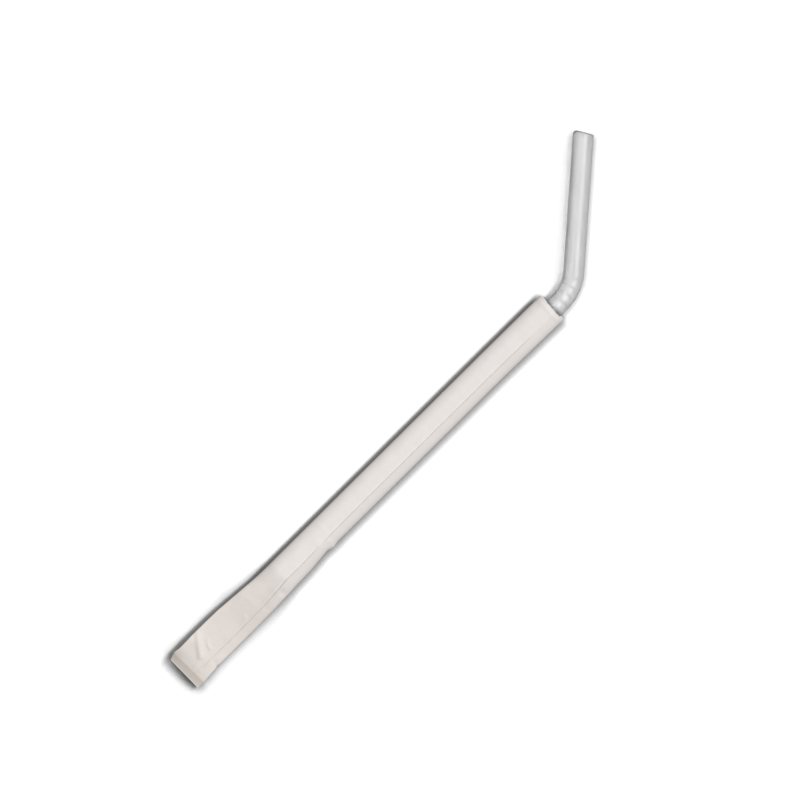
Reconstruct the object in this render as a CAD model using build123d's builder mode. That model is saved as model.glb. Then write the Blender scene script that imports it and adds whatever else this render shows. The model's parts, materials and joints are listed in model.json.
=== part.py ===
from build123d import *

import math
import os

# A drinking straw with a flexible neck, lying on a table with its long leg in its paper wrapper.
# Lengths are in millimetres and angles in degrees. +X runs along the long leg towards the neck,
# the short leg bends off towards +Y, and +Z is up. The table is at height zero.
# While the pieces are made, the wrapper's closed end is at zero along X, and the long leg's centre
# line is at zero across Y. Both are then moved so that the origin is under the middle of the whole.

# Straw
tube_radius = 3.0
tube_wall = 0.2
long_leg = 112.6
short_leg = 40.2
tip_slant = 11
tip_rounding = 0.9

# Neck of the straw, drawn out and bent: its rings stand proud of the tube and are this deep
bend_radius = 13.9
bend_angle = 41.2
ring_proud = 0.12
ring_depth = 0.2
rings_in_bend = 4
rings_before_bend = 4
ring_crest_share = 0.36
ring_lean = 10

# Paper wrapper: its empty end and how that tilts, its crimped band, spare width, mouth and tightest fold
paper = 0.1
empty_length = 40.3
empty_tilt = 16
crimp_length = 2.6
spare_width = 1.7
mouth_lip = 0.6
sharpest_fold = 0.15

# How the two lie: the straight stretch of straw between the mouth and the bend, and the room between
straw_out = 2.8
paper_gap = 0.02

# How far a cut runs past what it cuts
cut_overrun = 2.0

# Sizes that follow from those above
ring_radius = tube_radius + ring_proud
valley_radius = ring_radius - ring_depth
wrapper_length = empty_length + long_leg - straw_out
axis_height = paper + paper_gap + ring_radius
bend_start = wrapper_length + straw_out
bend_turn = math.radians(bend_angle)
bend_length = bend_radius * bend_turn
ring_pitch = bend_length / rings_in_bend
neck_start = -rings_before_bend * ring_pitch

# The short leg droops until its tip rests on the table: the bend's plane is rolled about the long leg
tip_reach = bend_radius * (1 - math.cos(bend_turn)) + short_leg * math.sin(bend_turn)
droop = math.asin((axis_height - tube_radius) / tip_reach)

bend_plane = Plane(
    origin=(bend_start, 0, axis_height),
    x_dir=(1, 0, 0),
    z_dir=(0, math.sin(droop), math.cos(droop)),
)


def straw_plane(along, lean=0):
    """The plane across the straw at a distance along its centre line, counted from the bend's start."""
    turn = min(max(along, 0), bend_length) / bend_radius
    past = along - turn * bend_radius
    centre = (
        bend_radius * math.sin(turn) + past * math.cos(turn),
        bend_radius * (1 - math.cos(turn)) + past * math.sin(turn),
        0,
    )
    facing = turn - math.radians(lean)
    outward = bend_plane.from_local_coords(Vector(centre) + Vector(math.cos(facing), math.sin(facing), 0))
    origin = bend_plane.from_local_coords(Vector(centre))
    return Plane(origin=origin, x_dir=bend_plane.z_dir, z_dir=outward - origin)


def neck_circles(inset):
    """Each place along the neck with a circle: its distance, its radius and how far it leans back."""
    ring_count = rings_before_bend + rings_in_bend
    circles = [(neck_start, tube_radius - inset, 0)]
    for ring in range(ring_count):
        foot = neck_start + ring * ring_pitch
        crest = foot + ring_crest_share * ring_pitch
        crest_lean = ring_lean * math.sin(math.pi * max(crest, 0) / bend_length)
        circles.append((crest, ring_radius - inset, crest_lean))
        if ring < ring_count - 1:
            valley = foot + ring_pitch
            valley_lean = ring_lean * math.sin(math.pi * max(valley, 0) / bend_length)
            circles.append((valley, valley_radius - inset, valley_lean))
    circles.append((bend_length, tube_radius - inset, 0))
    return circles


# Straw: the long leg, the ringed neck and the short leg, one tube throughout
with BuildPart() as straw:
    for inset, stage in ((0, Mode.ADD), (tube_wall, Mode.SUBTRACT)):
        overrun = cut_overrun if stage == Mode.SUBTRACT else 0

        with BuildSketch(straw_plane(neck_start)):
            Circle(tube_radius - inset)
        extrude(amount=-(long_leg + neck_start + overrun), mode=stage)

        for along, radius, lean in neck_circles(inset):
            with BuildSketch(straw_plane(along, lean)):
                Circle(radius)
        loft(ruled=True, mode=stage)

        with BuildSketch(straw_plane(bend_length)):
            Circle(tube_radius - inset)
        extrude(amount=short_leg + tube_radius + overrun, mode=stage)

    # The tip is cut off a little aslant, longer on the bend's inner side, where its corner is rounded
    leg_plane = Plane(
        origin=straw_plane(bend_length).origin, x_dir=straw_plane(bend_length).z_dir, z_dir=bend_plane.z_dir
    )
    slope = math.tan(math.radians(tip_slant))
    side = tube_radius + cut_overrun
    beyond = short_leg + side
    with BuildSketch(leg_plane):
        with BuildLine():
            cut_start = (short_leg + slope * (tube_radius - tip_rounding), tube_radius - tip_rounding)
            corner_end = (short_leg + slope * tube_radius - tip_rounding, tube_radius)
            Line((short_leg - slope * side, -side), cut_start)
            RadiusArc(cut_start, corner_end, -tip_rounding)
            Polyline(corner_end, (corner_end[0], side), (beyond, side), (beyond, -side))
            Line((beyond, -side), (short_leg - slope * side, -side))
        make_face()
    extrude(amount=side, both=True, mode=Mode.SUBTRACT)


# The paper's outer sizes: how far it reaches and how high it stands where it is snug on the neck's
# rings, its width where it is flat, and its height where it is crimped
snug_reach = ring_radius + paper_gap + paper
full_height = axis_height + snug_reach
flat_width = math.pi * snug_reach + spare_width
slack = flat_width - 2 * snug_reach
crimp_height = 2 * paper

# Each row is one cross-section of the paper between the crimped band and the mouth. Its columns:
# its place, from 0 at the closed end to 1 at the straw's hidden end and 2 at the mouth;
# the share of the full height by which it hangs above the table; the share of the empty end's tilt;
# the shares of the slack taken up by the far side (+Y) and the near side; the share of the height
# between crimped flat and full; the heights of the far and the near fold as shares of the section's
# own height; the shares of the reach at which the far shoulder, the seam and the near knee lie; the
# knee's height as a share of the section's own height; and the shares of the reach that the far and
# the near fold curl in below.
section_shares = [
    (0.220, 0.46, 1.00, 0.729, 0.311, 0.060, 0.50, 0.50, 0.60, 0.40, 0.92, 0.80, 0.40, 0.40),
    (0.500, 0.44, 1.00, 0.704, 0.307, 0.110, 0.50, 0.50, 0.50, 0.39, 0.92, 0.80, 0.50, 0.50),
    (0.755, 0.31, 0.69, 0.563, 0.258, 0.335, 0.55, 0.48, 0.42, 0.33, 0.90, 0.76, 0.60, 0.60),
    (0.860, 0.16, 0.31, 0.485, 0.232, 0.620, 0.60, 0.46, 0.38, 0.30, 0.88, 0.72, 0.65, 0.80),
    (1.000, 0.00, 0.00, 0.425, 0.205, 1.000, 0.66, 0.44, 0.38, 0.28, 0.87, 0.69, 0.75, 0.95),
    (1.060, 0.00, 0.00, 0.425, 0.175, 1.000, 0.68, 0.42, 0.38, 0.30, 0.87, 0.68, 0.80, 1.00),
    (1.130, 0.00, 0.00, 0.425, 0.050, 1.000, 0.70, 0.42, 0.40, 0.31, 0.92, 0.74, 0.85, 1.00),
    (1.148, 0.00, 0.00, 0.425, 0.165, 1.000, 0.70, 0.42, 0.40, 0.26, 0.87, 0.68, 0.85, 1.00),
    (1.165, 0.00, 0.00, 0.425, 0.090, 1.000, 0.70, 0.42, 0.40, 0.25, 0.90, 0.72, 0.85, 1.00),
    (1.770, 0.00, 0.00, 0.415, 0.118, 1.000, 0.70, 0.42, 0.40, 0.26, 0.89, 0.70, 0.85, 1.00),
    (1.950, 0.00, 0.00, 0.400, 0.175, 1.000, 0.66, 0.43, 0.36, 0.31, 0.88, 0.69, 0.80, 0.95),
    (2.000, 0.00, 0.00, 0.390, 0.200, 1.000, 0.64, 0.43, 0.34, 0.31, 0.88, 0.69, 0.80, 0.95),
]
crimp_shares = [
    (0.36, 0.69, 0.630, 0.412, 0.000, 0.50, 0.50, 0.90, 0.40, 0.97, 0.96, 0.03, 0.03),
    (0.43, 0.75, 0.668, 0.389, 0.020, 0.50, 0.50, 0.90, 0.40, 0.97, 0.96, 0.03, 0.03),
]


def section_place(place):
    """How far from the closed end a section lies. The mouth's section takes in the slanted lip."""
    covered_length = wrapper_length + mouth_lip - empty_length
    return empty_length * min(place, 1) + covered_length * max(place - 1, 0)


def section_plane(distance, shares):
    """The plane of one cross-section, lifted off the table and tilted up towards the far side."""
    lift, tilt_share = shares[:2]
    tilt = math.radians(tilt_share * empty_tilt)
    return Plane(
        origin=(distance, 0, lift * full_height),
        x_dir=(0, math.cos(tilt), math.sin(tilt)),
        z_dir=(1, 0, 0),
    )


def paper_outline(shares, inset, lap):
    """One closed cross-section of the paper, drawn inset by a wall, with the lap's edge as a step."""
    far_slack, near_slack, rise, far_fold, near_fold = shares[2:7]
    shoulder, seam, knee, knee_rise, far_curl, near_curl = shares[7:]
    height = crimp_height + rise * (full_height - crimp_height)
    far = snug_reach + far_slack * slack
    near = -snug_reach - near_slack * slack
    far_height = far_fold * height
    near_height = near_fold * height
    knee_height = knee_rise * height - inset
    shoulder_y = shoulder * far
    seam_y = seam * near
    knee_y = knee * near + inset
    far_turn = far - max(far_curl * far, sharpest_fold)
    near_turn = near + max(-near_curl * near, sharpest_fold)
    top = height - inset
    far_edge = far - inset
    near_edge = near + inset
    with BuildLine() as outline:
        Line((near_turn, inset), (far_turn, inset))
        EllipticalCenterArc((far_turn, far_height), far_edge - far_turn, far_height - inset, 270)
        EllipticalCenterArc((shoulder_y, far_height), far_edge - shoulder_y, top - far_height, 0)
        Line((shoulder_y, top), (seam_y, top))
        if lap:
            Line((seam_y, top), (seam_y, top + lap))
        Line((seam_y, top + lap), (knee_y, knee_height))
        EllipticalCenterArc((knee_y, near_height), knee_y - near_edge, knee_height - near_height, 90)
        EllipticalCenterArc((near_turn, near_height), near_turn - near_edge, near_height - inset, 180)
    return outline.line


# The paper's cross-sections, each with its distance from the closed end
sections = [(0, crimp_shares[0]), (crimp_length, crimp_shares[1])]
for place, *shares in section_shares:
    sections.append((section_place(place), shares))


# Wrapper: one web of paper, lapped along its top, crimped flat at one end and open at the other
with BuildPart() as wrapper:
    for distance, shares in sections:
        with BuildSketch(section_plane(distance, shares)):
            add(paper_outline(shares, 0, paper))
            make_face()
    loft(ruled=True)

    for distance, shares in sections[1:]:
        with BuildSketch(section_plane(distance, shares)):
            add(paper_outline(shares, paper, 0))
            make_face()
    loft(ruled=True, mode=Mode.SUBTRACT)

    # The mouth is cut aslant, so that the layer on the table reaches a little further out
    with BuildSketch(Plane.XZ):
        Polygon(
            (wrapper_length, full_height + cut_overrun),
            (wrapper_length, full_height),
            (wrapper_length + mouth_lip, 0),
            (wrapper_length + mouth_lip + cut_overrun, 0),
            (wrapper_length + mouth_lip + cut_overrun, full_height + cut_overrun),
            align=None,
        )
    extrude(amount=flat_width, both=True, mode=Mode.SUBTRACT)


# The origin goes to the table, under the middle of the whole lying object
whole = straw.part.bounding_box().add(wrapper.part.bounding_box())
to_origin = Location((-whole.center().X, -whole.center().Y, 0))

os.makedirs("parts", exist_ok=True)
straw.part.move(to_origin)
straw.part.label = "straw"
export_step(straw.part, "parts/straw.step")
wrapper.part.move(to_origin)
wrapper.part.label = "wrapper"
export_step(wrapper.part, "parts/wrapper.step")
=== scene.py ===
"""Looks of the wrapped drinking straw: its milky plastic tube, its paper wrapper, the floor and the light.

Everything is in metres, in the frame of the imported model: +X runs along the long leg towards the neck,
the short leg bends off towards +Y, and the table is at height zero. Lengths are written in millimetres
times MM. Places along the wrapper are counted from its closed end, as "along", and places across it from
the straw's centre line, as "across", positive on the far side (+Y) and negative on the near side.
"""

import json
import math

import bpy
import numpy as np
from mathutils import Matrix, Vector


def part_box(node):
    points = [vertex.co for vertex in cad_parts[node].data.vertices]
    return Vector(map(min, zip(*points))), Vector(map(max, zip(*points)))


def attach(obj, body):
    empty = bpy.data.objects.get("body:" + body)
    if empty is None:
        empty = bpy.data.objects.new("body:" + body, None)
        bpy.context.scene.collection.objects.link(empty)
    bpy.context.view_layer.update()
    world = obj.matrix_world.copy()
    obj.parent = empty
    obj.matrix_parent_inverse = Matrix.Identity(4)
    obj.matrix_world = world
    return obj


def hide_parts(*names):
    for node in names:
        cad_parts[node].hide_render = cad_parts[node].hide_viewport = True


MM = 0.001

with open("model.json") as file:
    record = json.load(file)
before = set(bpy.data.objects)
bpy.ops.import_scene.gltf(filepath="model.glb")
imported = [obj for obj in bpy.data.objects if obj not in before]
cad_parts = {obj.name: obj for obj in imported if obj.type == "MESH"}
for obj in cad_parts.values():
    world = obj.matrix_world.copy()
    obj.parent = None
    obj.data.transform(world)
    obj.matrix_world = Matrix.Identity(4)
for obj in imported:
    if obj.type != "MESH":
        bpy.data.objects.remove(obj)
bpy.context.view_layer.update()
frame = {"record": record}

# Straw
TUBE_RADIUS = 3.0 * MM
TUBE_WALL = 0.2 * MM
TIP_SLANT = math.radians(11)
TIP_ROUNDING = 0.9 * MM

# Neck of the straw
BEND_RADIUS = 13.9 * MM
RING_RADIUS = 3.12 * MM
VALLEY_RADIUS = 2.96 * MM
RINGS_IN_BEND = 4
RINGS_BEFORE_BEND = 4
RING_CREST_SHARE = 0.36
RING_LEAN = math.radians(10)

# Paper: its thickness, its gap from the rings, where it is crimped and where the straw ends inside, the
# empty end's tilt, and the width by which it is looser than a tight sleeve when it is pressed flat
PAPER = 0.1 * MM
PAPER_GAP = 0.02 * MM
CRIMP_LENGTH = 2.6 * MM
EMPTY_LENGTH = 40.3 * MM
EMPTY_TILT = math.radians(16)
SPARE_WIDTH = 1.7 * MM

# Its cut ends: how far the mouth's top stands back from its foot, on both sides and more on the near one,
# the power by which this sets in only near the mouth, and how far the closed end's edge leans along for
# each unit of its height
MOUTH_LIP = 0.6 * MM
MOUTH_SET_BACK = 0.4 * MM
MOUTH_SHARPNESS = 8
END_SLANT = 0.2

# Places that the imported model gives
straw_low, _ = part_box("straw")
paper_low, paper_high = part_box("wrapper")
leg_mount = next(m for m in frame["record"]["mounts"] if m["name"] == "drinking_leg")
leg_axis = np.array(leg_mount["axis"])
leg_middle = np.array(leg_mount["pos_m"])
SHORT_LEG = leg_mount["dims"]["length_mm"] * MM
BEND_TURN = math.acos(leg_axis[0])
BEND_LENGTH = BEND_RADIUS * BEND_TURN
corner = leg_middle - leg_axis * (SHORT_LEG / 2 + BEND_RADIUS * math.tan(BEND_TURN / 2))
bend_origin = corner - np.array([BEND_RADIUS * math.tan(BEND_TURN / 2), 0, 0])
AXIS_Y, AXIS_HEIGHT = bend_origin[1], bend_origin[2]
HIDDEN_END = straw_low.x - bend_origin[0]
CLOSED_END = paper_low.x
WRAPPER_LENGTH = paper_high.x - paper_low.x - MOUTH_LIP

ALONG_LEG = np.array([1.0, 0.0, 0.0])
BEND_SIDE = (leg_axis - leg_axis[0] * ALONG_LEG) / math.sin(BEND_TURN)
BEND_UP = np.cross(ALONG_LEG, BEND_SIDE)

# Camera: it looks straight down, turned so that the long leg rises to the right
CAMERA_HEIGHT = 1.0
VIEW_WIDTH = 232 * MM
VIEW_CENTRE = (CLOSED_END + 100.25 * MM, AXIS_Y + 12.56 * MM)
LEG_RISE = math.radians(44.84)
SENSOR_WIDTH = 36.0
NEAREST, FARTHEST = 0.01, 10.0


def make_camera():
    data = bpy.data.cameras.new("camera")
    data.sensor_width = SENSOR_WIDTH
    data.lens = SENSOR_WIDTH * CAMERA_HEIGHT / VIEW_WIDTH
    data.clip_start, data.clip_end = NEAREST, FARTHEST
    camera = bpy.data.objects.new("camera", data)
    camera.location = (*VIEW_CENTRE, CAMERA_HEIGHT)
    camera.rotation_euler = (0, 0, -LEG_RISE)
    bpy.context.scene.collection.objects.link(camera)
    bpy.context.scene.camera = camera


make_camera()


def ease(x):
    """From 0 to 1 with level ends, for x from 0 to 1."""
    return (1 - np.cos(np.pi * np.clip(x, 0, 1))) / 2


def bell(x):
    """A bump of height 1 and of unit width at x = 0."""
    return np.exp(-x * x)


def grid_faces(rows, columns, start=0, turned=False):
    """Quads between neighbouring closed rows of points that are numbered row by row."""
    faces = []
    for row in range(rows - 1):
        for column in range(columns):
            after = (column + 1) % columns
            quad = (
                start + row * columns + column,
                start + row * columns + after,
                start + (row + 1) * columns + after,
                start + (row + 1) * columns + column,
            )
            faces.append(quad[::-1] if turned else quad)
    return faces


def bridge_faces(first, second, turned=False):
    """Quads between two closed rings of equally many points, given as lists of their numbers."""
    faces = []
    for place in range(len(first)):
        after = (place + 1) % len(first)
        quad = (first[place], first[after], second[after], second[place])
        faces.append(quad[::-1] if turned else quad)
    return faces


def add_piece(name, points, faces, material, node, flat_faces=()):
    """A mesh piece of the object that stands for a CAD node and rides on the one body."""
    mesh = bpy.data.meshes.new(name)
    mesh.from_pydata([tuple(p) for p in points], [], faces)
    mesh.validate()
    smooth = np.ones(len(mesh.polygons), bool)
    smooth[list(flat_faces)] = False
    mesh.polygons.foreach_set("use_smooth", smooth)
    mesh.materials.append(material)
    piece = bpy.data.objects.new(name, mesh)
    bpy.context.scene.collection.objects.link(piece)
    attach(piece, "root")
    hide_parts(node)
    return piece


# Straw

LEG_STEPS = 60
RING_STEPS = 14
TUBE_COLUMNS = 96


def straw_stations():
    """Distances along the centre line from the bend's start, with the tube's radius and lean at each."""
    pitch = BEND_LENGTH / RINGS_IN_BEND
    neck_start = -RINGS_BEFORE_BEND * pitch
    rings = RINGS_BEFORE_BEND + RINGS_IN_BEND
    hidden = np.linspace(HIDDEN_END, neck_start, LEG_STEPS, endpoint=False)
    stations = [(along, TUBE_RADIUS, 0.0) for along in hidden]
    for ring in range(rings):
        for step in range(RING_STEPS):
            share = step / RING_STEPS
            along = neck_start + (ring + share) * pitch
            if share < RING_CREST_SHARE:
                foot = TUBE_RADIUS if ring == 0 else VALLEY_RADIUS
                radius = foot + (RING_RADIUS - foot) * ease(share / RING_CREST_SHARE)
            else:
                valley = TUBE_RADIUS if ring == rings - 1 else VALLEY_RADIUS
                fall = ease((share - RING_CREST_SHARE) / (1 - RING_CREST_SHARE))
                radius = RING_RADIUS + (valley - RING_RADIUS) * fall
            lean = RING_LEAN * math.sin(math.pi * max(along, 0) / BEND_LENGTH)
            stations.append((along, float(radius), lean))
    return stations


def straw_point(along, lean, radius, turn):
    """A point of the tube: turn is counted round it, from the top towards the bend's inner side."""
    angle = min(max(along, 0), BEND_LENGTH) / BEND_RADIUS
    past = along - angle * BEND_RADIUS
    forward = BEND_RADIUS * math.sin(angle) + past * math.cos(angle)
    sideways = BEND_RADIUS * (1 - math.cos(angle)) + past * math.sin(angle)
    facing = angle - lean
    inward = radius * math.sin(turn)
    return (
        bend_origin
        + ALONG_LEG * (forward - inward * math.sin(facing))
        + BEND_SIDE * (sideways + inward * math.cos(facing))
        + BEND_UP * radius * math.cos(turn)
    )


def tip_reach(inward):
    """How far the slanted tip reaches along the short leg at a place across it."""
    slope = math.tan(TIP_SLANT)
    reach = SHORT_LEG + slope * inward
    into_corner = inward - (TUBE_RADIUS - TIP_ROUNDING)
    if into_corner > 0:
        cut_start = SHORT_LEG + slope * (TUBE_RADIUS - TIP_ROUNDING)
        corner_end = SHORT_LEG + slope * TUBE_RADIUS - TIP_ROUNDING
        round_share = math.sqrt(max(1 - (into_corner / TIP_ROUNDING) ** 2, 0))
        reach = corner_end + (cut_start - corner_end) * round_share
    return reach


def straw_skin(inset):
    """The rows of points of the tube's outside, or of its bore when inset by the wall."""
    turns = np.linspace(0, 2 * math.pi, TUBE_COLUMNS, endpoint=False)
    rows = [
        [straw_point(along, lean, radius - inset, turn) for turn in turns]
        for along, radius, lean in straw_stations()
    ]
    radius = TUBE_RADIUS - inset
    for step in range(LEG_STEPS + 1):
        share = step / LEG_STEPS
        rows.append(
            [
                straw_point(BEND_LENGTH + share * tip_reach(radius * math.sin(turn)), 0, radius, turn)
                for turn in turns
            ]
        )
    return rows


def make_straw(material):
    outer, bore = straw_skin(0), straw_skin(TUBE_WALL)
    rows = len(outer)
    points = [point for row in outer + bore for point in row]
    bore_start = rows * TUBE_COLUMNS
    faces = grid_faces(rows, TUBE_COLUMNS, turned=True)
    faces += grid_faces(rows, TUBE_COLUMNS, start=bore_start)
    for row, turned in ((0, True), (rows - 1, False)):
        outer_ring = [row * TUBE_COLUMNS + column for column in range(TUBE_COLUMNS)]
        bore_ring = [bore_start + number for number in outer_ring]
        faces += bridge_faces(outer_ring, bore_ring, turned=turned)
    rims = range(len(faces) - 2 * TUBE_COLUMNS, len(faces))
    return add_piece("straw_tube", points, faces, material, "straw", rims)


# Paper wrapper

SNUG_REACH = RING_RADIUS + PAPER_GAP + PAPER
FULL_HEIGHT = AXIS_HEIGHT + SNUG_REACH
SLACK = math.pi * SNUG_REACH + SPARE_WIDTH - 2 * SNUG_REACH
CRIMP_HEIGHT = 2 * PAPER
LEAST_CURL = 0.15 * MM
MOUTH_END = WRAPPER_LENGTH + MOUTH_LIP

# Each row is one cross-section of the paper: its place, from 0 at the closed end to 1 at the straw's
# hidden end and 2 at the mouth; the share of the full height by which it hangs above the table; the
# share of the empty end's tilt; the shares of the slack that its far and its near side take up; the
# share of the height between crimped flat and full; the heights of its far and near fold as shares of
# its own height; where its far shoulder, its seam and its near knee lie, as shares of its reach; the
# knee's height as a share of its own height; and how far its folds curl in below, as shares of its reach.
SECTION_SHARES = [
    (0.000, 0.40, 0.38, 0.612, 0.394, 0.000, 0.50, 0.50, 0.90, 0.20, 0.97, 0.60, 0.03, 0.03),
    (0.065, 0.45, 0.55, 0.657, 0.378, 0.004, 0.50, 0.50, 0.90, 0.30, 0.97, 0.60, 0.03, 0.03),
    (0.220, 0.46, 1.00, 0.729, 0.311, 0.060, 0.50, 0.50, 0.60, 0.40, 0.92, 0.80, 0.40, 0.40),
    (0.500, 0.44, 1.00, 0.704, 0.307, 0.110, 0.50, 0.50, 0.50, 0.39, 0.92, 0.80, 0.50, 0.50),
    (0.755, 0.31, 0.69, 0.563, 0.258, 0.335, 0.55, 0.48, 0.42, 0.33, 0.90, 0.76, 0.60, 0.60),
    (0.860, 0.16, 0.31, 0.485, 0.232, 0.620, 0.60, 0.46, 0.38, 0.30, 0.88, 0.72, 0.65, 0.80),
    (1.000, 0.00, 0.00, 0.425, 0.205, 1.000, 0.66, 0.44, 0.38, 0.28, 0.87, 0.69, 0.75, 0.95),
    (1.060, 0.00, 0.00, 0.425, 0.175, 1.000, 0.68, 0.42, 0.38, 0.30, 0.87, 0.68, 0.80, 1.00),
    (1.130, 0.00, 0.00, 0.425, 0.050, 1.000, 0.70, 0.42, 0.40, 0.31, 0.92, 0.74, 0.85, 1.00),
    (1.148, 0.00, 0.00, 0.425, 0.165, 1.000, 0.70, 0.42, 0.40, 0.26, 0.87, 0.68, 0.85, 1.00),
    (1.165, 0.00, 0.00, 0.425, 0.090, 1.000, 0.70, 0.42, 0.40, 0.25, 0.90, 0.72, 0.85, 1.00),
    (1.250, 0.00, 0.00, 0.425, 0.098, 1.000, 0.70, 0.42, 0.40, 0.24, 0.90, 0.71, 0.85, 1.00),
    (1.770, 0.00, 0.00, 0.415, 0.118, 1.000, 0.70, 0.42, 0.40, 0.26, 0.89, 0.70, 0.85, 1.00),
    (1.950, 0.00, 0.00, 0.400, 0.175, 1.000, 0.66, 0.43, 0.36, 0.31, 0.88, 0.69, 0.80, 0.95),
    (2.000, 0.00, 0.00, 0.390, 0.200, 1.000, 0.64, 0.43, 0.34, 0.31, 0.88, 0.69, 0.80, 0.95),
]

# The mesh: how far apart its rows are, over what length the sections' changes are rounded off, how many
# rows of the outside go to one of the inside, and how many points each part of a section has
ROW_STEP = 0.2 * MM
SECTION_ROUNDING = 0.5 * MM
INNER_ROW_SKIP = 4
BOTTOM_COLUMNS, FOLD_COLUMNS, SHOULDER_COLUMNS, TOP_COLUMNS, STEP_COLUMNS, KNEE_COLUMNS = 6, 8, 14, 30, 3, 18

# How strongly each curve of a section is drawn towards its corner, and how much the points of its top and
# of its knee crowd towards the seam
FAR_FOLD_PULL, SHOULDER_PULL, KNEE_PULL, NEAR_FOLD_PULL = 0.5, 0.6, 1.6, 0.6
TOP_CROWDING, KNEE_CROWDING = 1.6, 1.5

# Creases pressed into the paper's upper layer, in millimetres: the points that each runs through, as
# (along, across), its height, and its half widths on the closed end's side and on the mouth's side
CREASES = [
    (((6.3, 0.2), (7.3, 1.3), (10.3, 5.3), (11.7, 6.8)), 0.44, 0.75, 1.10),
    (((2.6, -0.2), (4.0, -0.1), (6.4, 0.5), (8.0, 1.5)), 0.12, 0.50, 0.50),
    (((10.3, -0.2), (10.6, 0.8), (10.9, 1.8), (11.5, 2.6), (12.7, 3.4)), 0.20, 0.30, 0.65),
    (((24.2, 0.7), (24.3, 0.0), (24.5, -0.8)), 0.20, 1.60, 0.55),
    (((28.3, -0.2), (28.3, 2.0), (28.4, 4.6)), 0.05, 0.30, 0.80),
    (((24.0, -0.5), (28.4, -0.85), (32.4, -0.60), (39.0, -0.40)), 0.12, 0.30, 0.30),
    (((8.2, -5.4), (9.0, -4.4), (10.2, -2.8)), 0.12, 0.30, 0.90),
    (((58.0, 5.0), (58.2, 2.0), (58.4, -0.5)), 0.05, 0.30, 0.60),
]

# Small bumps and dents of the upper layer, in millimetres: along, across, height and half width
BUMPS = [
    (4.0, -2.3, 0.08, 0.60),
    (11.0, -4.0, 0.16, 1.20),
    (36.9, -2.9, -0.30, 1.00),
    (53.9, -1.1, 0.08, 0.70),
    (57.0, -1.9, 0.16, 0.80),
    (70.4, -1.7, 0.06, 0.60),
]

# Places where an edge of the paper stands out or back, in millimetres: along, how far it is moved towards
# the far side, and the half width along, for the far edge and for the near edge
FAR_EDGE_STEPS = [(0.0, -0.45, 0.7), (2.9, 0.25, 1.0)]
NEAR_EDGE_STEPS = [(8.5, 0.25, 0.45)]

# Waves that make the paper uneven: their lengths in millimetres, how many of each run in chance
# directions, and their height as a share of their length
WAVE_LENGTHS = (2.2, 3.1, 4.3, 6.1, 8.7, 12.5)
WAVES_OF_EACH = 3
WAVE_HEIGHT_SHARE = 0.0012
WAVE_SEED = 11

# Where the upper layer starts, as shares of the section's height, and over what length beyond the crimped
# band its creases begin
UPPER_START_SHARE = 0.4
UPPER_RISE_SHARE = 0.3
CREASE_START = 1.5 * MM

# The crimped band's ribs, with their height, pitch and fade, and the curl of its far corner, which starts
# past a share of the far width, rises over one length and then falls away over another
RIB_HEIGHT = 0.035 * MM
RIB_PITCH = 0.65 * MM
RIB_FADE = 0.4 * MM
CORNER_LIFT = 0.6 * MM
CORNER_START_SHARE = 0.3
CORNER_RISE = 5.0 * MM
CORNER_END = 14.0 * MM
CORNER_FALL = 9.0 * MM

# The ridge just inside the mouth: its height, half width and distance from the cut
MOUTH_RIDGE = 0.1 * MM
MOUTH_RIDGE_WIDTH = 0.55 * MM
MOUTH_RIDGE_BACK = 0.8 * MM

# The seam: the rise of the paper over the lap's edge, from before the edge and then easing off past it;
# the groove along its foot, which the knurling presses deeper at every tick; and how strongly both show
# along the wrapper, in millimetres from the closed end
SEAM_RISE = 0.15 * MM
SEAM_RISE_LENGTH = 0.55 * MM
SEAM_FALL_LENGTH = 1.3 * MM
SEAM_FOOT_BACK = 0.4 * MM
SEAM_FOOT_DEPTH = 0.085 * MM
SEAM_FOOT_WIDTH = 0.27 * MM
TICK_PITCH = 0.9 * MM
TICK_SHARE = 0.4
SEAM_STRENGTH = [
    (0, 0.1),
    (5, 0.1),
    (8, 1.5),
    (10, 2.2),
    (20, 2.2),
    (30, 1.0),
    (52, 1.0),
    (54, 0.3),
    (57, 0.3),
    (59, 1.0),
    (136, 1.0),
    (142.5, 0.1),
]


def section_values(along):
    """The section table's columns at every row's place along the wrapper, with its corners rounded."""
    table = np.array(SECTION_SHARES)
    covered = MOUTH_END - EMPTY_LENGTH
    places = EMPTY_LENGTH * np.minimum(table[:, 0], 1) + covered * np.maximum(table[:, 0] - 1, 0)
    reach = int(3 * SECTION_ROUNDING / ROW_STEP)
    kernel = bell(np.arange(-reach, reach + 1) * ROW_STEP / SECTION_ROUNDING)
    kernel /= kernel.sum()
    columns = []
    for shares in table[:, 1:].T:
        padded = np.interp(np.arange(-reach, len(along) + reach) * ROW_STEP, places, shares)
        columns.append(np.convolve(padded, kernel, "valid"))
    return columns


def bend(start, corner, end, weight, count, power=1.0):
    """A curve from start to end, drawn towards the corner by a weight. A power over 1 crowds its start."""
    share = (np.arange(count) / count) ** power
    first, middle, last = (1 - share) ** 2, 2 * weight * share * (1 - share), share**2
    total = first + middle + last
    return tuple((first * start[i] + middle * corner[i] + last * end[i]) / total for i in (0, 1))


def line(start, end, count, power=1.0):
    """A straight run from start to end. A power over 1 crowds its end."""
    share = 1 - (1 - np.arange(count) / count) ** power
    return tuple(start[i] + (end[i] - start[i]) * share for i in (0, 1))


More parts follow.
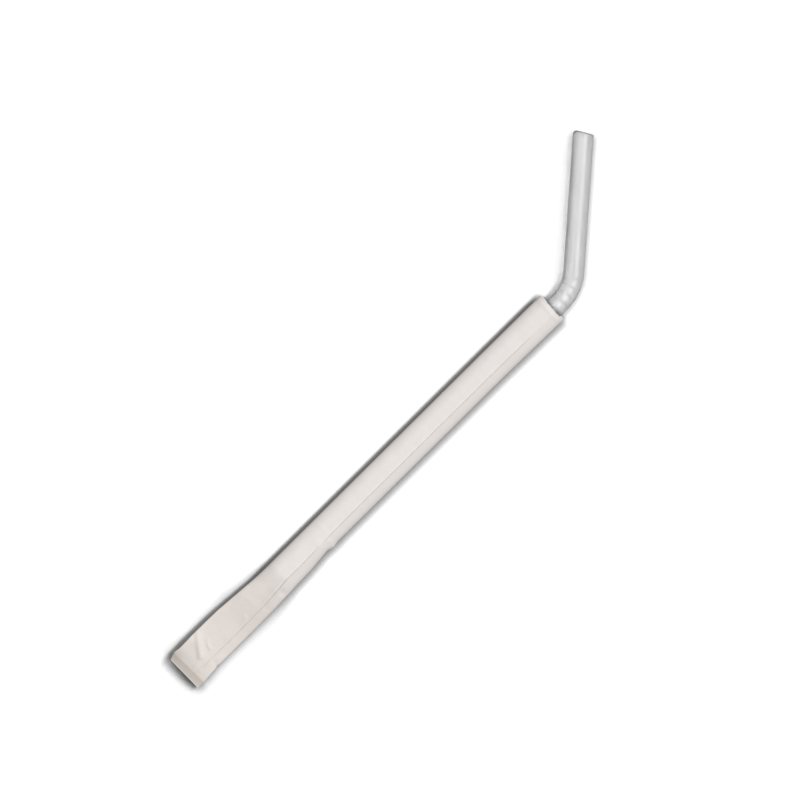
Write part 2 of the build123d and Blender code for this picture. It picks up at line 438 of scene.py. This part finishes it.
def crease_height(along, across, points, height, before, after):
    """The height that one crease adds at each place: narrow or wide on each side, and fading at its ends."""
    nearest = np.full(along.shape, np.inf)
    side = np.zeros(along.shape)
    passed = np.zeros(along.shape)
    runs = len(points) - 1
    for number, ((along_0, across_0), (along_1, across_1)) in enumerate(zip(points, points[1:])):
        run = np.array([along_1 - along_0, across_1 - across_0]) * MM
        to_along, to_across = along - along_0 * MM, across - across_0 * MM
        share = np.clip((to_along * run[0] + to_across * run[1]) / (run @ run), 0, 1)
        distance = np.hypot(to_along - share * run[0], to_across - share * run[1])
        closer = distance < nearest
        nearest = np.where(closer, distance, nearest)
        side = np.where(closer, np.sign(to_along - share * run[0]), side)
        passed = np.where(closer, (number + share) / runs, passed)
    width = np.where(side < 0, before, after) * MM
    return height * MM * bell(nearest / width) * np.sin(math.pi * passed) ** 0.5


def waviness(along, across):
    """Slight unevenness of the paper, from waves in directions that the seed sets."""
    chance = np.random.default_rng(WAVE_SEED)
    total = np.zeros(np.broadcast(along, across).shape)
    for length in WAVE_LENGTHS:
        for _ in range(WAVES_OF_EACH):
            turn = chance.uniform(0, math.pi)
            phase = chance.uniform(0, 2 * math.pi)
            wave = 2 * math.pi / (length * MM)
            total += length * np.sin(wave * (along * math.cos(turn) + across * math.sin(turn)) + phase)
    return total * WAVE_HEIGHT_SHARE * MM


def edge_steps(place, steps):
    """How far the listed steps move one edge of the paper towards the far side, at each place along it."""
    moved = np.zeros(place.shape)
    for step_along, move, half_width in steps:
        moved = moved + move * MM * bell((place - step_along * MM) / (half_width * MM))
    return moved


def seam_relief(place, past_seam, strength):
    """The height that the lap's edge and the knurled groove at its foot add, by place past the seam."""
    past_foot = past_seam + SEAM_FOOT_BACK
    falling = np.exp(-np.maximum(past_seam, 0) / SEAM_FALL_LENGTH)
    rising = SEAM_RISE * ease(past_foot / SEAM_RISE_LENGTH) * falling
    ticks = 1 + TICK_SHARE * np.cos(2 * math.pi * place / TICK_PITCH)
    groove = SEAM_FOOT_DEPTH * ticks * bell(past_foot / SEAM_FOOT_WIDTH)
    return np.minimum(strength, 1) * rising - strength * groove


def paper_rows(along):
    """The paper's cross-section at each row, as arrays of across and height, row by row."""
    (lift, tilt_share, far_slack, near_slack, rise, far_fold, near_fold, shoulder, seam, knee, knee_rise,
     far_curl, near_curl) = (column[:, None] for column in section_values(along))
    place = along[:, None]
    height = CRIMP_HEIGHT + rise * (FULL_HEIGHT - CRIMP_HEIGHT)
    far = SNUG_REACH + far_slack * SLACK + edge_steps(place, FAR_EDGE_STEPS)
    near = -SNUG_REACH - near_slack * SLACK + edge_steps(place, NEAR_EDGE_STEPS)
    far_height = far_fold * height
    near_height = near_fold * height
    low = np.zeros(height.shape)
    top = height
    far_turn = far - np.maximum(far_curl * far, LEAST_CURL)
    near_turn = near + np.maximum(-near_curl * near, LEAST_CURL)
    far_low, far_side = (far_turn, low), (far, far_height)
    strength_at, strengths = zip(*SEAM_STRENGTH)
    strength = np.interp(along / MM, strength_at, strengths)[:, None]
    shoulder_top, seam_foot = (shoulder * far, top), (seam * near, top)
    seam_top = (seam * near, top + PAPER * np.minimum(strength, 1))
    near_side, near_low = (near, near_height), (near_turn, low)
    parts = [
        line(near_low, far_low, BOTTOM_COLUMNS),
        bend(far_low, (far, low), far_side, FAR_FOLD_PULL, FOLD_COLUMNS),
        bend(far_side, (far, top), shoulder_top, SHOULDER_PULL, SHOULDER_COLUMNS),
        line(shoulder_top, seam_foot, TOP_COLUMNS, TOP_CROWDING),
        line(seam_foot, seam_top, STEP_COLUMNS),
        bend(seam_top, (knee * near, knee_rise * height), near_side, KNEE_PULL, KNEE_COLUMNS, KNEE_CROWDING),
        bend(near_side, (near, low), near_low, NEAR_FOLD_PULL, FOLD_COLUMNS),
    ]
    across = np.concatenate([part[0] for part in parts], 1)
    rise_at = np.concatenate([part[1] for part in parts], 1)
    place = np.broadcast_to(place, across.shape)

    # Creases, bumps and the seam are pressed into the upper layer alone, away from the crimped band
    upper = ease((rise_at / height - UPPER_START_SHARE) / UPPER_RISE_SHARE)
    upper = upper * ease((place - CRIMP_LENGTH) / CREASE_START)
    pressed = waviness(place, across)
    for points, depth, before, after in CREASES:
        pressed = pressed + crease_height(place, across, points, depth, before, after)
    for bump_along, bump_across, depth, width in BUMPS:
        distance = np.hypot(place - bump_along * MM, across - bump_across * MM)
        pressed = pressed + depth * MM * bell(distance / (width * MM))
    pressed = pressed + seam_relief(place, seam * near - across, strength)
    mouth_ridge = MOUTH_RIDGE * bell((place - (WRAPPER_LENGTH - MOUTH_RIDGE_BACK)) / MOUTH_RIDGE_WIDTH)
    rise_at = rise_at + upper * (pressed + mouth_ridge)

    # The crimped band's fine ribs, and the far corner behind it, which curls up
    ribs = RIB_HEIGHT * np.cos(2 * math.pi * place / RIB_PITCH) * ease((CRIMP_LENGTH - place) / RIB_FADE)
    corner_curl = ease(place / CORNER_RISE) * ease((CORNER_END - place) / CORNER_FALL)
    corner_curl = corner_curl * ease((across / far - CORNER_START_SHARE) / (1 - CORNER_START_SHARE))
    rise_at = rise_at + ribs + CORNER_LIFT * corner_curl

    # The section is tilted about its foot, then lifted
    tilt = tilt_share * EMPTY_TILT
    tilted_across = across * np.cos(tilt) - rise_at * np.sin(tilt)
    tilted_height = across * np.sin(tilt) + rise_at * np.cos(tilt)
    return tilted_across, lift * FULL_HEIGHT + tilted_height


def make_wrapper(material):
    rows = int(round(MOUTH_END / ROW_STEP)) + 1
    along = np.linspace(0, MOUTH_END, rows)
    across, height = paper_rows(along)
    columns = across.shape[1]
    mouth_share = np.clip(along / MOUTH_END, 0, 1)[:, None] ** MOUTH_SHARPNESS
    near_share = 1 - ease((across + SNUG_REACH) / (2 * SNUG_REACH))
    set_back = (MOUTH_LIP + MOUTH_SET_BACK * near_share) * mouth_share
    reach = along[:, None] - set_back * np.maximum(height / FULL_HEIGHT, 0)
    reach = reach + END_SLANT * np.maximum(height - height[0].min(), 0) * bell(along / CRIMP_LENGTH)[:, None]
    outer = np.stack([CLOSED_END + reach, AXIS_Y + across, height], -1)

    step_along = np.gradient(outer, axis=0)
    step_round = np.roll(outer, -1, 1) - np.roll(outer, 1, 1)
    normals = np.cross(step_round, step_along)
    normals /= np.linalg.norm(normals, axis=-1, keepdims=True)
    first_open = int(round(CRIMP_LENGTH / ROW_STEP))
    inner_rows = [*range(first_open, rows - 1, INNER_ROW_SKIP), rows - 1]
    inner = (outer - PAPER * normals)[inner_rows]

    points = list(outer.reshape(-1, 3)) + list(inner.reshape(-1, 3))
    inner_start = rows * columns
    faces = grid_faces(rows, columns)
    faces += grid_faces(len(inner_rows), columns, start=inner_start, turned=True)
    last_outer = [(rows - 1) * columns + column for column in range(columns)]
    last_inner = [inner_start + (len(inner_rows) - 1) * columns + column for column in range(columns)]
    faces += bridge_faces(last_outer, last_inner)
    faces.append(tuple(range(columns)))
    faces.append(tuple(inner_start + column for column in reversed(range(columns))))
    return add_piece("paper_wrapper", points, faces, material, "wrapper")


# Materials

# Paper: the two colours it is mottled with, the fineness of its mottles and of its fibres, the fibres'
# height, its roughness and gloss, and its tones along the empty length, from 0 at the closed end to 1 at
# the straw's hidden end. These tones are mostly painted shade: darker along the empty length, where no
# straw lies under the thin paper, and darker at the crimped band, there partly the pressed paper's own tone.
PAPER_DARK, PAPER_LIGHT = (0.785, 0.74, 0.71), (0.835, 0.79, 0.765)
MOTTLE_SCALE, MOTTLE_DETAIL = 900, 6
FIBRE_SCALE, FIBRE_DETAIL = 6000, 3
FIBRE_STRENGTH, FIBRE_HEIGHT = 0.15, 0.02 * MM
PAPER_ROUGHNESS, PAPER_GLOSS = 0.85, 0.25
EMPTY_TONES_AND_PAINTED_SHADE = [
    (0.000, (0.79, 0.78, 0.745)),
    (0.020, (0.70, 0.685, 0.65)),
    (0.055, (0.67, 0.64, 0.60)),
    (0.067, (0.84, 0.82, 0.79)),
    (0.140, (0.92, 0.90, 0.87)),
    (0.220, (0.945, 0.93, 0.905)),
    (0.430, (0.922, 0.903, 0.879)),
    (0.650, (0.87, 0.85, 0.828)),
    (0.830, (0.935, 0.918, 0.90)),
    (0.990, (1, 1, 1)),
]

# Plastic: how much it lets through, its roughness and gloss, how its shadow pales, how strongly its wall
# absorbs, per metre, and its tones past the wrapper's mouth, in millimetres along: painted shade, dark
# inside the paper and where it comes out of it, then the plastic's own pale tone, palest at the neck,
# which is drawn thin
PLASTIC_CLEARNESS = 0.82
PLASTIC_ROUGHNESS, PLASTIC_GLOSS = 0.36, 0.35
PLASTIC_INDEX = 1.49
PLASTIC_SHADOW = 0.85
PLASTIC_ABSORPTION = 540
PLASTIC_PAINTED_SHADE_AND_NECK_TONES = [(0.0, 0.45), (0.9, 1.0), (7.0, 1.0), (12.0, 0.95)]


def new_material(name):
    material = bpy.data.materials.new(name)
    material.use_nodes = True
    return material, material.node_tree.nodes, material.node_tree.links


def share_along(nodes, links, start, end):
    """A socket that rises from 0 to 1 between two places along X."""
    place = nodes.new("ShaderNodeTexCoord")
    split = nodes.new("ShaderNodeSeparateXYZ")
    links.new(place.outputs["Object"], split.inputs["Vector"])
    share = nodes.new("ShaderNodeMapRange")
    share.inputs["From Min"].default_value = start
    share.inputs["From Max"].default_value = end
    links.new(split.outputs["X"], share.inputs["Value"])
    return share.outputs["Result"]


def colour_ramp(nodes, links, share, stops):
    """A socket with the colours of the stops, each a position from 0 to 1 and a colour, by the share."""
    ramp = nodes.new("ShaderNodeValToRGB")
    elements = ramp.color_ramp.elements
    while len(elements) < len(stops):
        elements.new(1.0)
    for element, (position, colour) in zip(elements, stops):
        element.position = position
        element.color = (*colour, 1)
    links.new(share, ramp.inputs["Fac"])
    return ramp.outputs["Color"]


def noise(nodes, links, scale, detail):
    """A socket with noise over the object's own coordinates."""
    place = nodes.new("ShaderNodeTexCoord")
    texture = nodes.new("ShaderNodeTexNoise")
    texture.inputs["Scale"].default_value = scale
    texture.inputs["Detail"].default_value = detail
    links.new(place.outputs["Object"], texture.inputs["Vector"])
    return texture.outputs["Fac"]


def paper_material():
    """Thin white paper: mottled and fibrous, with shade painted darker into its colour where nothing lies
    under it and at the crimp, there partly the pressed paper's own tone.
    """
    material, nodes, links = new_material("wrapper_paper")
    shader = nodes["Principled BSDF"]
    mottle = noise(nodes, links, MOTTLE_SCALE, MOTTLE_DETAIL)
    mottled = colour_ramp(nodes, links, mottle, [(0, PAPER_DARK), (1, PAPER_LIGHT)])
    along = share_along(nodes, links, CLOSED_END, CLOSED_END + EMPTY_LENGTH)
    both = nodes.new("ShaderNodeMix")
    both.data_type = "RGBA"
    both.blend_type = "MULTIPLY"
    both.inputs["Factor"].default_value = 1
    links.new(mottled, both.inputs["A"])
    # Painted shade: the paper darker where no straw lies under it and at the crimped band
    links.new(colour_ramp(nodes, links, along, EMPTY_TONES_AND_PAINTED_SHADE), both.inputs["B"])
    links.new(both.outputs["Result"], shader.inputs["Base Color"])

    bump = nodes.new("ShaderNodeBump")
    bump.inputs["Strength"].default_value = FIBRE_STRENGTH
    bump.inputs["Distance"].default_value = FIBRE_HEIGHT
    links.new(noise(nodes, links, FIBRE_SCALE, FIBRE_DETAIL), bump.inputs["Height"])
    links.new(bump.outputs["Normal"], shader.inputs["Normal"])
    shader.inputs["Roughness"].default_value = PAPER_ROUGHNESS
    shader.inputs["Specular IOR Level"].default_value = PAPER_GLOSS
    return material


def plastic_material():
    """Milky clear plastic with painted shade, darker inside the paper and where it comes out of the mouth,
    palest at the drawn neck, and with pale shadows.
    """
    material, nodes, links = new_material("straw_plastic")
    shader, output = nodes["Principled BSDF"], nodes["Material Output"]
    mouth, last = CLOSED_END + WRAPPER_LENGTH, PLASTIC_PAINTED_SHADE_AND_NECK_TONES[-1][0]
    along = share_along(nodes, links, mouth, mouth + last * MM)
    stops = [(reach / last, (tone, tone, tone)) for reach, tone in PLASTIC_PAINTED_SHADE_AND_NECK_TONES]
    # Painted shade: the tube darker inside the paper and just past its mouth
    links.new(colour_ramp(nodes, links, along, stops), shader.inputs["Base Color"])
    shader.inputs["Transmission Weight"].default_value = PLASTIC_CLEARNESS
    shader.inputs["Roughness"].default_value = PLASTIC_ROUGHNESS
    shader.inputs["IOR"].default_value = PLASTIC_INDEX
    shader.inputs["Specular IOR Level"].default_value = PLASTIC_GLOSS

    path = nodes.new("ShaderNodeLightPath")
    clear = nodes.new("ShaderNodeBsdfTransparent")
    clear.inputs["Color"].default_value = (PLASTIC_SHADOW, PLASTIC_SHADOW, PLASTIC_SHADOW, 1)
    mix = nodes.new("ShaderNodeMixShader")
    links.new(path.outputs["Is Shadow Ray"], mix.inputs["Fac"])
    links.new(shader.outputs["BSDF"], mix.inputs[1])
    links.new(clear.outputs["BSDF"], mix.inputs[2])
    links.new(mix.outputs["Shader"], output.inputs["Surface"])
    absorption = nodes.new("ShaderNodeVolumeAbsorption")
    absorption.inputs["Color"].default_value = (0, 0, 0, 1)
    absorption.inputs["Density"].default_value = PLASTIC_ABSORPTION
    links.new(absorption.outputs["Volume"], output.inputs["Volume"])
    return material


# Floor and light

# The floor's tones: for light that bounces off it, for the camera, and through the clear straw
FLOOR_SIZE = 4.0
FLOOR_TINT = 0.35
FLOOR_WHITE = 1.12
FLOOR_THROUGH_STRAW = 0.68

# The contact shade on the floor: the place from the closed end, its reach, both in millimetres, and its
# depth. The open share is what the floor far from the part still sees, and counts as unshaded.
SHADE_PLACES = [
    (0.0, 6.2, 8.0),
    (2.0, 6.1, 2.6),
    (24.0, 6.0, 2.3),
    (34.0, 4.2, 2.6),
    (40.3, 3.4, 2.8),
    (149.5, 3.4, 2.8),
    (151.5, 2.6, 1.4),
]
SHADE_SCALE = 10.0
SHADE_SAMPLES = 4
OPEN_SHARE = 0.95

# The key light's suns: how far each leans towards the mouth's end and the near side for each unit of
# height, the width of each, and their share of all light, the rest being the world's
KEY_SLOPES = (0.15, 0.375, 0.6, 0.825, 1.05)
KEY_SIDE_SLOPE = -0.25
KEY_ANGLE = math.radians(9)
KEY_SHARE = 0.62


def calculated(nodes, links, operation, first, second):
    """A socket with the outcome of a sum on a socket and a socket or number."""
    step = nodes.new("ShaderNodeMath")
    step.operation = operation
    links.new(first, step.inputs[0])
    if isinstance(second, (int, float)):
        step.inputs[1].default_value = second
    else:
        links.new(second, step.inputs[1])
    return step.outputs[0]


def shade_by_place(nodes, links):
    """Two sockets with the reach and the depth of the floor's contact shade, by place along X."""
    last = SHADE_PLACES[-1][0]
    along = share_along(nodes, links, CLOSED_END, CLOSED_END + last * MM)
    stops = [
        (place / last, (reach / SHADE_SCALE, depth / SHADE_SCALE, 0))
        for place, reach, depth in SHADE_PLACES
    ]
    parts = nodes.new("ShaderNodeSeparateColor")
    links.new(colour_ramp(nodes, links, along, stops), parts.inputs["Color"])
    return (
        calculated(nodes, links, "MULTIPLY", parts.outputs["Red"], SHADE_SCALE * MM),
        calculated(nodes, links, "MULTIPLY", parts.outputs["Green"], SHADE_SCALE),
    )


def floor_material():
    """Pale for the camera, with contact shade painted into its colour near the parts, a plain tone through
    clear plastic, and grey for bounced light.
    """
    material, nodes, links = new_material("floor")
    nodes.remove(nodes["Principled BSDF"])
    reach, depth = shade_by_place(nodes, links)
    # Painted shade: the floor's colour darkens where nearby parts hide its sky
    close_by = nodes.new("ShaderNodeAmbientOcclusion")
    close_by.samples = SHADE_SAMPLES
    links.new(reach, close_by.inputs["Distance"])
    openness = calculated(nodes, links, "DIVIDE", close_by.outputs["AO"], OPEN_SHARE)
    openness.node.use_clamp = True
    shade = calculated(nodes, links, "POWER", openness, depth)
    tone = calculated(nodes, links, "MULTIPLY", shade, FLOOR_WHITE)

    path = nodes.new("ShaderNodeLightPath")
    through = nodes.new("ShaderNodeMapRange")
    links.new(path.outputs["Is Transmission Ray"], through.inputs["Value"])
    links.new(tone, through.inputs["To Min"])
    through.inputs["To Max"].default_value = FLOOR_THROUGH_STRAW
    white = nodes.new("ShaderNodeBsdfDiffuse")
    links.new(through.outputs["Result"], white.inputs["Color"])
    plain = nodes.new("ShaderNodeBsdfDiffuse")
    plain.inputs["Color"].default_value = (FLOOR_TINT, FLOOR_TINT, FLOOR_TINT, 1)
    seen = calculated(
        nodes, links, "ADD", path.outputs["Is Camera Ray"], path.outputs["Is Transmission Ray"]
    )
    seen.node.use_clamp = True
    mix = nodes.new("ShaderNodeMixShader")
    links.new(seen, mix.inputs["Fac"])
    links.new(plain.outputs[0], mix.inputs[1])
    links.new(white.outputs[0], mix.inputs[2])
    links.new(mix.outputs[0], nodes["Material Output"].inputs["Surface"])
    return material


def make_floor():
    half = FLOOR_SIZE / 2
    mesh = bpy.data.meshes.new("floor")
    corners = [(-half, -half, 0), (half, -half, 0), (half, half, 0), (-half, half, 0)]
    mesh.from_pydata(corners, [], [(0, 1, 2, 3)])
    mesh.materials.append(floor_material())
    floor = bpy.data.objects.new("floor", mesh)
    bpy.context.scene.collection.objects.link(floor)


def make_light():
    """A long soft light above the mouth's end and the near side, as a row of suns, and a plain pale world."""
    for number, slope in enumerate(KEY_SLOPES):
        towards = Vector((slope, KEY_SIDE_SLOPE, 1))
        data = bpy.data.lights.new(f"key_{number}", "SUN")
        data.angle = KEY_ANGLE
        data.energy = math.pi * KEY_SHARE / len(KEY_SLOPES) * towards.length
        key = bpy.data.objects.new(f"key_{number}", data)
        key.rotation_mode = "QUATERNION"
        key.rotation_quaternion = towards.to_track_quat("Z", "Y")
        bpy.context.scene.collection.objects.link(key)

    world = bpy.data.worlds.new("world")
    bpy.context.scene.world = world
    world.use_nodes = True
    background = world.node_tree.nodes["Background"]
    background.inputs["Color"].default_value = (1, 1, 1, 1)
    background.inputs["Strength"].default_value = 1 - KEY_SHARE


make_floor()
make_light()
make_straw(plastic_material())
make_wrapper(paper_material())
bpy.context.scene.view_settings.view_transform = "Standard"
